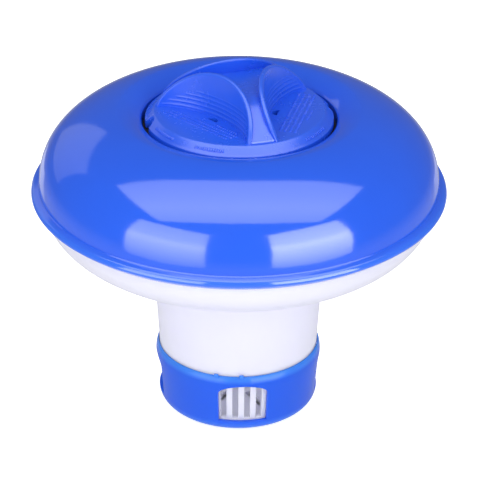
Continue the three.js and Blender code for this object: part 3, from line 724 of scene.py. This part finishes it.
def lid_plate():
    """The bevelled plate with its flange and skirt as one closed grid, with two notches in the edge."""
    half = np.arcsin(NOTCH_RADIUS / LID_RADIUS)
    notch = (LUG_TURNS[:, None] + np.sin(np.linspace(-np.pi / 2, np.pi / 2, 17)) * half).ravel()
    angle = columns_round(notch, np.radians(1.5))
    edge = notch_reach(angle)[:, None]
    underside = LID_TOP - LID_RIM_DEPTH
    skirt = LID_RADIUS - SKIRT_IN
    hollow = skirt - SKIRT_WALL
    plate_low = LID_TOP - LID_PLATE
    bevel_in = LID_RADIUS - LID_BEVEL
    one = np.ones_like(edge)

    def bevel_height(radius):
        """The top face falls at 45 degrees outside the bevel's inner circle, with a soft crease and lip."""
        return LID_TOP - np.logaddexp(0, (radius - bevel_in) / 0.14) * 0.14

    near_crease = [-8, -1.2, -0.5, -0.2, 0, 0.2, 0.5]
    radii = [np.minimum(edge, (bevel_in + out) * one) for out in near_crease]
    radii += [bevel_in + 0.5 + (edge - 0.3 - bevel_in - 0.5) * share for share in (0.25, 0.5, 0.75, 1)]
    rings = [(r, bevel_height(r)) for r in radii]
    corner = bevel_height(edge - 0.3)
    rings += [(edge - 0.12, corner - 0.1), (edge, corner - 0.35)]
    rings += [(edge, underside * one + 0.3), (edge - 0.3, underside * one)]
    outline = [(skirt, underside), (skirt, lid_low[2] + 0.3), (skirt - 0.3, lid_low[2]),
               (hollow + 0.3, lid_low[2]), (hollow, lid_low[2] + 0.3), (hollow, plate_low - 0.6),
               (hollow - 0.6, plate_low), (6, plate_low)]
    rings += [(r * one, z * one) for r, z in outline]
    rings = [(0 * one, LID_TOP * one), (6 * one, LID_TOP * one)] + rings + [(0 * one, plate_low * one)]
    radius = np.concatenate([ring[0] for ring in rings], 1)
    height = np.concatenate([ring[1] for ring in rings], 1)
    points = polar(radius, angle[:, None], height)
    return points.reshape(-1, 3), net(*points.shape[:2], True, False).tolist()


def lugs():
    """Two bayonet lugs low on the skirt, with rounded ends."""
    skirt = LID_RADIUS - SKIRT_IN
    low = lid_low[2] + LUG_ABOVE_EDGE
    section = rounded([(skirt - 0.4, low, 0), (skirt + LUG_REACH, low, 0.3),
                       (skirt + LUG_REACH, low + LUG_HEIGHT, 0.3), (skirt - 0.4, low + LUG_HEIGHT, 0)], 4)
    return [swept(section, lug - LUG_HALF, lug + LUG_HALF, 20) for lug in LUG_TURNS]


def lid_marks():
    """Plain raised dashes where the lid is marked: rows across two scoops and ticks along the bevel. Their
    lengths are drawn from a fixed seed, and none forms a letter."""
    drawn = np.random.default_rng(7)
    centres, across, sizes, normals = [], [], [], []
    flat = np.array([0.0, 0.0, 1.0])

    def row(scoop, start, end, count):
        """A row of dashes from start to end, both (x, y) in the scoop's frame."""
        share = (np.arange(count) + 0.5) / count
        x = start[0] + (end[0] - start[0]) * share
        y = start[1] + (end[1] - start[1]) * share
        spots = in_place(x, y, 0.0, scoop)
        way = in_place(*end, 0.0, scoop) - in_place(*start, 0.0, scoop)
        pitch = np.hypot(*way[:2]) / count
        centres.append(spots)
        across.append(np.tile(way / np.linalg.norm(way), (count, 1)))
        long = pitch * drawn.uniform(0.24, 0.4, count)
        wide = drawn.uniform(0.36, 0.5, count)
        sizes.append(np.stack([long, wide, np.full(count, MARK_RISE)], -1))
        normals.append(np.tile(flat, (count, 1)))

    right, left = SCOOP_TURNS[2], SCOOP_TURNS[1]
    for line in range(4):
        out = 15.3 + 1.55 * line
        row(right, (-15.3, out), (12.4, out), 32)
    row(right, (-4.0, 21.6), (3.0, 21.4), 8)
    for line in range(3):
        out = 14.9 + 1.5 * line
        row(left, (-13.4 + 0.6 * line, out), (13.6 + 0.5 * line, out), 31)
    row(left, (-12.0, 13.4), (-2.5, 13.4), 11)

    spans = [np.linspace(-155, -136, 14), np.linspace(-118, -100, 13), np.linspace(-43, -23, 13)]
    bevel = np.radians(np.concatenate(spans))
    radius = LID_RADIUS - LID_BEVEL / 2
    centres.append(polar(radius, bevel, LID_TOP - LID_BEVEL / 2))
    across.append(polar(1, bevel + np.pi / 2, np.zeros(len(bevel))))
    long = drawn.uniform(0.22, 0.4, len(bevel))
    wide = drawn.uniform(0.45, 0.65, len(bevel))
    sizes.append(np.stack([long, wide, np.full(len(bevel), MARK_RISE)], -1))
    normals.append(polar(1, bevel, np.ones(len(bevel))) / np.sqrt(2))
    across, normals = np.concatenate(across), np.concatenate(normals)
    return pebbles(np.concatenate(centres), across, np.cross(normals, across), np.concatenate(sizes))


def vent_cutter():
    """Three D-shaped posts, half discs with the flat side outward, for cutting the vents."""
    turn = np.linspace(np.pi / 2, 3 * np.pi / 2, 15)
    x = VENT_OUT + VENT_RADIUS / 2 + VENT_RADIUS * np.cos(turn)
    y = VENT_RADIUS * np.sin(turn)
    shells = []
    for scoop in SCOOP_TURNS:
        turned_x = x * np.cos(scoop) - y * np.sin(scoop)
        turned_y = x * np.sin(scoop) + y * np.cos(scoop)
        plan = np.stack([turned_x, turned_y], -1)
        count = len(plan)
        low = np.concatenate([plan, np.full((count, 1), LID_TOP - 5)], 1)
        high = np.concatenate([plan, np.full((count, 1), LID_TOP + 2)], 1)
        sides = [[i, (i + 1) % count, (i + 1) % count + count, i + count] for i in range(count)]
        caps = [list(range(count)), list(range(2 * count - 1, count - 1, -1))]
        shells.append((np.concatenate([low, high]), caps + sides))
    return made("vent_cutter", shells)


def cut(piece, cutter):
    """Takes the cutter's shape out of a piece for good."""
    step = piece.modifiers.new("vents", "BOOLEAN")
    step.operation = "DIFFERENCE"
    step.solver = "EXACT"
    step.object = cutter
    with bpy.context.temp_override(object=piece, active_object=piece, selected_objects=[piece]):
        bpy.ops.object.modifier_apply(modifier=step.name)
    piece.data.set_sharp_from_angle(angle=np.radians(35))


def lid_seal():
    """A soft ring of square section with round edges and a small raised bead along its top."""
    inner = LID_RADIUS - SKIRT_IN + RUNNING_GAP
    low, high, outer = seal_low[2], seal_high[2], seal_high[0]
    middle = (inner + outer) / 2
    shelf = high - 0.25
    outline = rounded([(inner, low, 0.35), (outer, low, 0.35), (outer, shelf, 0.3),
                       (middle + 0.7, shelf, 0.1), (middle + 0.3, high, 0.2), (middle - 0.3, high, 0.2),
                       (middle - 0.7, shelf, 0.1), (inner, shelf, 0.3)], 4)
    return made("seal_ring_moulding", [turned(outline, 180)])


# ---------------------------------------------------------------- finishes

def colour(code):
    """An sRGB hex value as the linear colour that Blender works in."""
    part = np.array([int(code[i:i + 2], 16) for i in (1, 3, 5)]) / 255
    linear = np.where(part <= 0.04045, part / 12.92, ((part + 0.055) / 1.055) ** 2.4)
    return (*linear, 1.0)


def node(tree, kind, settings=None, **links):
    """Adds a node, sets its properties and input values, and links its inputs from sockets given by name."""
    added = tree.nodes.new(kind)
    for key, value in (settings or {}).items():
        if hasattr(added, key):
            setattr(added, key, value)
        else:
            added.inputs[key].default_value = value
    for key, socket in links.items():
        tree.links.new(socket, added.inputs[key.replace("_", " ")])
    return added


def set_stops(ramp, levels):
    """Gives a colour ramp its grey levels, pairs of a position and a level."""
    stops = ramp.color_ramp.elements
    for index, (position, level) in enumerate(levels):
        stop = stops[index] if index < 2 else stops.new(position)
        stop.position = position
        stop.color = (level, level, level, 1)


def moulded(name, shade, deep, roughness, spread, ripple, ior_level,
            scatter=0.0, radius=(1, 1, 1), painted_glow=None):
    """Moulded plastic. Colour drifts slightly between two shades with the flow of the melt. Roughness varies
    in smears, with fine handling marks. The bump is the mould's faint orange peel with fine grain on top, and
    ripple scales both. The paler shade given last is painted by height where the moulding is thin: a painted
    glow and painted highlight that stand in for light coming through and catching the edges. It comes with
    pairs of a height in millimetres and the shade's share, lowest and highest first."""
    material = bpy.data.materials.new(name)
    material.use_nodes = True
    tree = material.node_tree
    shader = tree.nodes["Principled BSDF"]
    place = node(tree, "ShaderNodeTexCoord").outputs["Object"]
    flow = node(tree, "ShaderNodeTexNoise", {"Scale": 1 / MELT_FLOW, "Detail": 3.0, "Roughness": 0.55},
                Vector=place)
    mix = node(tree, "ShaderNodeMix", {"data_type": "RGBA"})
    mix.inputs[6].default_value = colour(shade)
    mix.inputs[7].default_value = colour(deep)
    tree.links.new(flow.outputs["Fac"], mix.inputs[0])
    body = mix.outputs[2]
    # Painted light: a paler shade mixed in by height, a painted glow and painted highlight where the blue is
    # thin.
    if painted_glow:
        pale, shares = painted_glow
        low, high = shares[0][0], shares[1][0]
        parts = node(tree, "ShaderNodeSeparateXYZ", None, Vector=place)
        level = node(tree, "ShaderNodeMapRange", {"From Min": low * MM, "From Max": high * MM},
                     Value=parts.outputs["Z"])
        ramp = node(tree, "ShaderNodeValToRGB", None, Fac=level.outputs["Result"])
        set_stops(ramp, [((height - low) / (high - low), share) for height, share in shares])
        edge = node(tree, "ShaderNodeMix", {"data_type": "RGBA"})
        edge.inputs[7].default_value = colour(pale)
        tree.links.new(ramp.outputs["Color"], edge.inputs[0])
        tree.links.new(body, edge.inputs[6])
        body = edge.outputs[2]
    tree.links.new(body, shader.inputs["Base Color"])
    smear = node(tree, "ShaderNodeTexNoise", {"Scale": 1 / SMEAR, "Detail": 6.0, "Roughness": 0.65},
                 Vector=place)
    limits = {"From Min": 0.3, "From Max": 0.7, "To Min": roughness - spread, "To Max": roughness + spread}
    gloss = node(tree, "ShaderNodeMapRange", limits, Value=smear.outputs["Fac"])
    tree.links.new(gloss.outputs["Result"], shader.inputs["Roughness"])
    peel = node(tree, "ShaderNodeTexNoise", {"Scale": 1 / ORANGE_PEEL, "Detail": 2.0}, Vector=place)
    grain = node(tree, "ShaderNodeTexNoise", {"Scale": 1 / GRAIN, "Detail": 2.0}, Vector=place)
    coarse = node(tree, "ShaderNodeBump", {"Strength": 1.0, "Distance": 0.000012 * ripple},
                  Height=peel.outputs["Fac"])
    fine = node(tree, "ShaderNodeBump", {"Strength": 1.0, "Distance": 0.000002 * ripple},
                Height=grain.outputs["Fac"], Normal=coarse.outputs["Normal"])
    tree.links.new(fine.outputs["Normal"], shader.inputs["Normal"])
    even = {"IOR": 1.49, "Specular IOR Level": ior_level, "Subsurface Weight": scatter,
            "Subsurface Radius": radius, "Subsurface Scale": 0.003}
    for key, value in even.items():
        shader.inputs[key].default_value = value
    return material


# Painted light: where the blue is thin, on the rim's lip and the collar's two edges, it is painted a paler
# shade that stands in for light coming through and for highlights on those edges.
rim_top = RIM_Z + RIM_TOP_UP
rim_painted_glow = [(RIM_Z, 0.7), (rim_top + 3, 0.0), (rim_top - 0.6, 0.65), (rim_top + 0.2, 0.15)]
collar_painted_glow = [(collar_low[2], 1.0), (collar_high[2], 1.0), (collar_low[2] + 4, 0.0),
               (COLLAR_TOP - 2.6, 0.0), (COLLAR_TOP - 1.2, 0.8)]

# Polypropylene from a polished mould: a crisp blue mirror with sharp-edged lamp shapes, and a paler painted
# glow and painted highlight at the rim.
gloss_blue = moulded("blue_polypropylene_polished", "#245fe8", "#2059e0", 0.10, 0.02, 0.6, 1.0,
                     painted_glow=("#3a74ee", rim_painted_glow))
# The same plastic from a finely stoned mould: softer, wider highlights that show the lid's facets and lines.
satin_blue = moulded("blue_polypropylene_satin", "#245fea", "#205ae3", 0.26, 0.03, 0.5, 1.0)
# The same plastic about a millimetre thick, so it lets light through: a brighter blue, with a paler painted
# glow and painted highlights along its top and bottom edges.
collar_blue = moulded("blue_polypropylene_thin", "#245fe2", "#2059dc", 0.16, 0.03, 1.0, 0.4,
                      scatter=0.3, radius=(0.15, 0.4, 1.0), painted_glow=("#4286f3", collar_painted_glow))
# Pigmented white polypropylene, smooth but not polished: an even cool white whose shading stays soft.
white_hull = moulded("white_polypropylene_gloss", "#dfdfec", "#dcdcea", 0.36, 0.04, 0.3, 0.35)
# Natural polypropylene, milky right through: light spreads inside it and softens the edges of the slots.
white_can = moulded("white_polypropylene_natural", "#dfdfed", "#dbdbea", 0.36, 0.06, 2.0, 0.4,
                    scatter=1.0, radius=(1.0, 0.97, 1.1))
# Elastomer from a dull mould: a matt near-black ring with almost no highlight.
black_rubber = moulded("black_moulded_elastomer", "#1c1d20", "#17181a", 0.72, 0.08, 3.0, 0.4)

cutter = vent_cutter()
plate = made("lid_plate_moulding", [lid_plate()])
cut(plate, cutter)
bpy.data.objects.remove(cutter)

fitted(top_shell(), gloss_blue, "float_body", "blue_shell", "top_shell")
fitted(bottom_shell(), white_hull, "float_body", "white_hull", "bottom_shell")
fitted(tablet_canister(), white_can, "float_body", "white_canister", "tablet_canister")
fitted(flow_collar(), collar_blue, "collar", "blue_collar", "flow_collar")
fitted(lid_seal(), black_rubber, "lid_seal", "soft_seal", "lid_seal_ring")
fitted(plate, satin_blue, "lid", "blue_lid", "twist_lid")
fitted(made("lid_bayonet_lugs", lugs()), satin_blue, "lid", "blue_lid")
fitted(made("lid_raised_marks", lid_marks()), satin_blue, "lid", "blue_lid")
arches = [arch_wall(scoop) for scoop in SCOOP_TURNS]
fitted(made("lid_grip_arches", arches, sharp=50), satin_blue, "lid", "blue_lid")
fitted(made("lid_grip_mound", mound(), sharp=50), satin_blue, "lid", "blue_lid")


# ---------------------------------------------------------------- stage, light and camera

def rectangle(name, width, height):
    """A flat rectangle round the origin, facing up, and its mesh."""
    outline = np.array([[-1, -1, 0], [1, -1, 0], [1, 1, 0], [-1, 1, 0]]) * [width / 2, height / 2, 0]
    mesh = bpy.data.meshes.new(name)
    mesh.from_pydata(outline.tolist(), [], [[0, 1, 2, 3]])
    sheet = bpy.data.objects.new(name, mesh)
    bpy.context.scene.collection.objects.link(sheet)
    return sheet, mesh


def flat_card(name, width, height, centre, aim, strength, levels, far_share=1.0):
    """A rectangle facing a point and seen only in reflections. Its glow follows levels, pairs of a share of
    its height and a share of its strength. It is flagged off from surfaces that lie past the object's middle,
    as seen from the card, where only the far share of its glow is left."""
    card, mesh = rectangle(name, width, height)
    centre, aim = Vector(centre), Vector(aim)
    card.location = centre
    card.rotation_euler = (aim - centre).to_track_quat("Z", "Y").to_euler()
    material = bpy.data.materials.new(name + "_glow")
    material.use_nodes = True
    tree = material.node_tree
    tree.nodes.clear()
    place = node(tree, "ShaderNodeTexCoord")
    parts = node(tree, "ShaderNodeSeparateXYZ", None, Vector=place.outputs["Object"])
    share = node(tree, "ShaderNodeMapRange", {"From Min": -height / 2, "From Max": height / 2},
                 Value=parts.outputs["Y"])
    ramp = node(tree, "ShaderNodeValToRGB", None, Fac=share.outputs["Result"])
    set_stops(ramp, levels)
    here = node(tree, "ShaderNodeNewGeometry")
    span = node(tree, "ShaderNodeVectorMath", {"operation": "DISTANCE"}, Vector=here.outputs["Position"])
    span.inputs[1].default_value = DOME
    path = node(tree, "ShaderNodeLightPath")
    nearer = node(tree, "ShaderNodeMath", {"operation": "SUBTRACT"}, Value=span.outputs["Value"])
    tree.links.new(path.outputs["Ray Length"], nearer.inputs[1])
    fade = {"From Min": 0.005, "From Max": 0.03, "To Min": strength * far_share, "To Max": strength}
    facing = node(tree, "ShaderNodeMapRange", fade, Value=nearer.outputs["Value"])
    lamp = node(tree, "ShaderNodeEmission", None, Color=ramp.outputs["Color"],
                Strength=facing.outputs["Result"])
    node(tree, "ShaderNodeOutputMaterial", None, Surface=lamp.outputs["Emission"])
    mesh.materials.append(material)
    card.visible_camera = False
    card.visible_diffuse = False
    card.visible_transmission = False
    card.visible_shadow = False


def soft_light(name, size, centre, aim, power):
    """A square area light that lights diffusely but isn't itself reflected."""
    data = bpy.data.lights.new(name, "AREA")
    data.shape = "SQUARE"
    data.size = size
    data.energy = power
    lamp = bpy.data.objects.new(name, data)
    lamp.location = centre
    lamp.rotation_euler = (Vector(aim) - Vector(centre)).to_track_quat("-Z", "Y").to_euler()
    lamp.visible_camera = False
    lamp.visible_glossy = False
    bpy.context.scene.collection.objects.link(lamp)


def studio():
    """A pale floor, glowing outside the foot, and a pale surround that lights evenly. In reflections the
    surround is dim above the horizon and pale below it, and the floor isn't seen."""
    world = bpy.data.worlds.new("studio")
    bpy.context.scene.world = world
    world.use_nodes = True
    tree = world.node_tree
    tree.nodes.clear()
    path = node(tree, "ShaderNodeLightPath")
    place = node(tree, "ShaderNodeTexCoord")
    parts = node(tree, "ShaderNodeSeparateXYZ", None, Vector=place.outputs["Generated"])
    horizon = {"From Min": -0.34, "From Max": -0.12, "To Min": MIRROR_LOW, "To Max": MIRROR_HIGH}
    mirrored = node(tree, "ShaderNodeMapRange", horizon, Value=parts.outputs["Z"])
    even = node(tree, "ShaderNodeMix", {"data_type": "FLOAT"})
    even.inputs[2].default_value = SURROUND
    tree.links.new(mirrored.outputs["Result"], even.inputs[3])
    tree.links.new(path.outputs["Is Glossy Ray"], even.inputs[0])
    seen = node(tree, "ShaderNodeMix", {"data_type": "FLOAT"})
    seen.inputs[3].default_value = BACKDROP
    tree.links.new(path.outputs["Is Camera Ray"], seen.inputs[0])
    tree.links.new(even.outputs[0], seen.inputs[2])
    back = node(tree, "ShaderNodeBackground", {"Color": colour("#ffffff")}, Strength=seen.outputs[0])
    node(tree, "ShaderNodeOutputWorld", None, Surface=back.outputs["Background"])

    floor, mesh = rectangle("floor", 2 * FLOOR_REACH, 2 * FLOOR_REACH)
    floor.location.z = -FLOOR_BELOW
    floor.visible_glossy = False
    pale = bpy.data.materials.new("pale_floor")
    pale.use_nodes = True
    tree = pale.node_tree
    tree.nodes.clear()
    path = node(tree, "ShaderNodeLightPath")
    place = node(tree, "ShaderNodeTexCoord")
    out = node(tree, "ShaderNodeVectorMath", {"operation": "LENGTH"}, Vector=place.outputs["Object"])
    clear = node(tree, "ShaderNodeMapRange", {"From Min": 0.017, "From Max": 0.022},
                 Value=out.outputs["Value"])
    glow = node(tree, "ShaderNodeMapRange", {"To Min": FLOOR_GLOW, "To Max": FLOOR_GLOW + 0.5},
                Value=path.outputs["Is Camera Ray"])
    glow = node(tree, "ShaderNodeMath", {"operation": "MULTIPLY"}, Value=glow.outputs["Result"])
    tree.links.new(clear.outputs["Result"], glow.inputs[1])
    paint = node(tree, "ShaderNodeBsdfDiffuse", {"Color": colour("#f4f4f6")})
    lamp = node(tree, "ShaderNodeEmission", {"Color": colour("#ffffff")}, Strength=glow.outputs["Value"])
    both = node(tree, "ShaderNodeAddShader")
    tree.links.new(paint.outputs[0], both.inputs[0])
    tree.links.new(lamp.outputs[0], both.inputs[1])
    node(tree, "ShaderNodeOutputMaterial", None, Surface=both.outputs[0])
    mesh.materials.append(pale)


def camera():
    """A long lens 27 degrees above the rim, aimed a little under it, with a slight roll."""
    rim = Vector((0, 0, RIM_Z * MM))
    up = Vector((0, np.sin(VIEW_RISE), np.cos(VIEW_RISE)))
    distance = VIEW_RADII_AWAY * (RIM_RADIUS - RIM_EDGE_IN) * MM
    spot = rim + Vector((0, -np.cos(VIEW_RISE), np.sin(VIEW_RISE))) * distance
    aim = rim - up * AIM_DOWN + Vector((AIM_RIGHT, 0, 0))
    data = bpy.data.cameras.new("camera")
    data.sensor_width = 36
    data.lens = LENS_MM
    data.clip_start = 0.01
    eye = bpy.data.objects.new("camera", data)
    turn = (aim - spot).to_track_quat("-Z", "Y").to_matrix().to_4x4()
    eye.matrix_world = Matrix.Translation(spot) @ turn @ Matrix.Rotation(VIEW_ROLL, 4, "Z")
    bpy.context.scene.collection.objects.link(eye)
    bpy.context.scene.camera = eye


studio()
camera()
flat_card("overhead_softbox", 1.55, 0.80, (0.015, -0.18, 0.9), (0.015, -0.18, 0), 2.6, OVERHEAD_BOX)
flat_card("left_softbox", 0.75, 0.97, (-0.582, -0.688, 0.275), (-0.028, 0.021, 0.275), 4.3, FRONT_BOX, 0.12)
flat_card("right_softbox", 0.75, 0.97, (0.582, -0.688, 0.275), (0.028, 0.021, 0.275), 6.5, FRONT_BOX, 0.08)
flat_card("rear_left_strip", 0.10, 0.08, (-0.208, 0.275, -0.04), (-0.058, 0.015, 0.08), 1.2, STRIP)
flat_card("rear_right_strip", 0.10, 0.06, (0.208, 0.275, -0.04), (0.058, 0.015, 0.08), 1.0, STRIP)
flat_card("left_wall", 0.5, 0.5, (-0.60, 0.62, 0.34), DOME, 0.75, STRIP)
soft_light("left_key", 0.6, (-0.52, -0.84, 0.5), DOME, 3.5)
soft_light("right_key", 0.6, (0.52, -0.84, 0.5), DOME, 3.7)
soft_light("overhead_fill", 1.2, (0, -0.2, 1.0), DOME, 3.4)
# A small lamp inside the canister stands in for the light that its milky walls let in from all round.
soft_light("well_fill", 0.02, (0, 0, 0.06), (0, 0, 0), 0.007)

bpy.context.scene.view_settings.view_transform = "Standard"
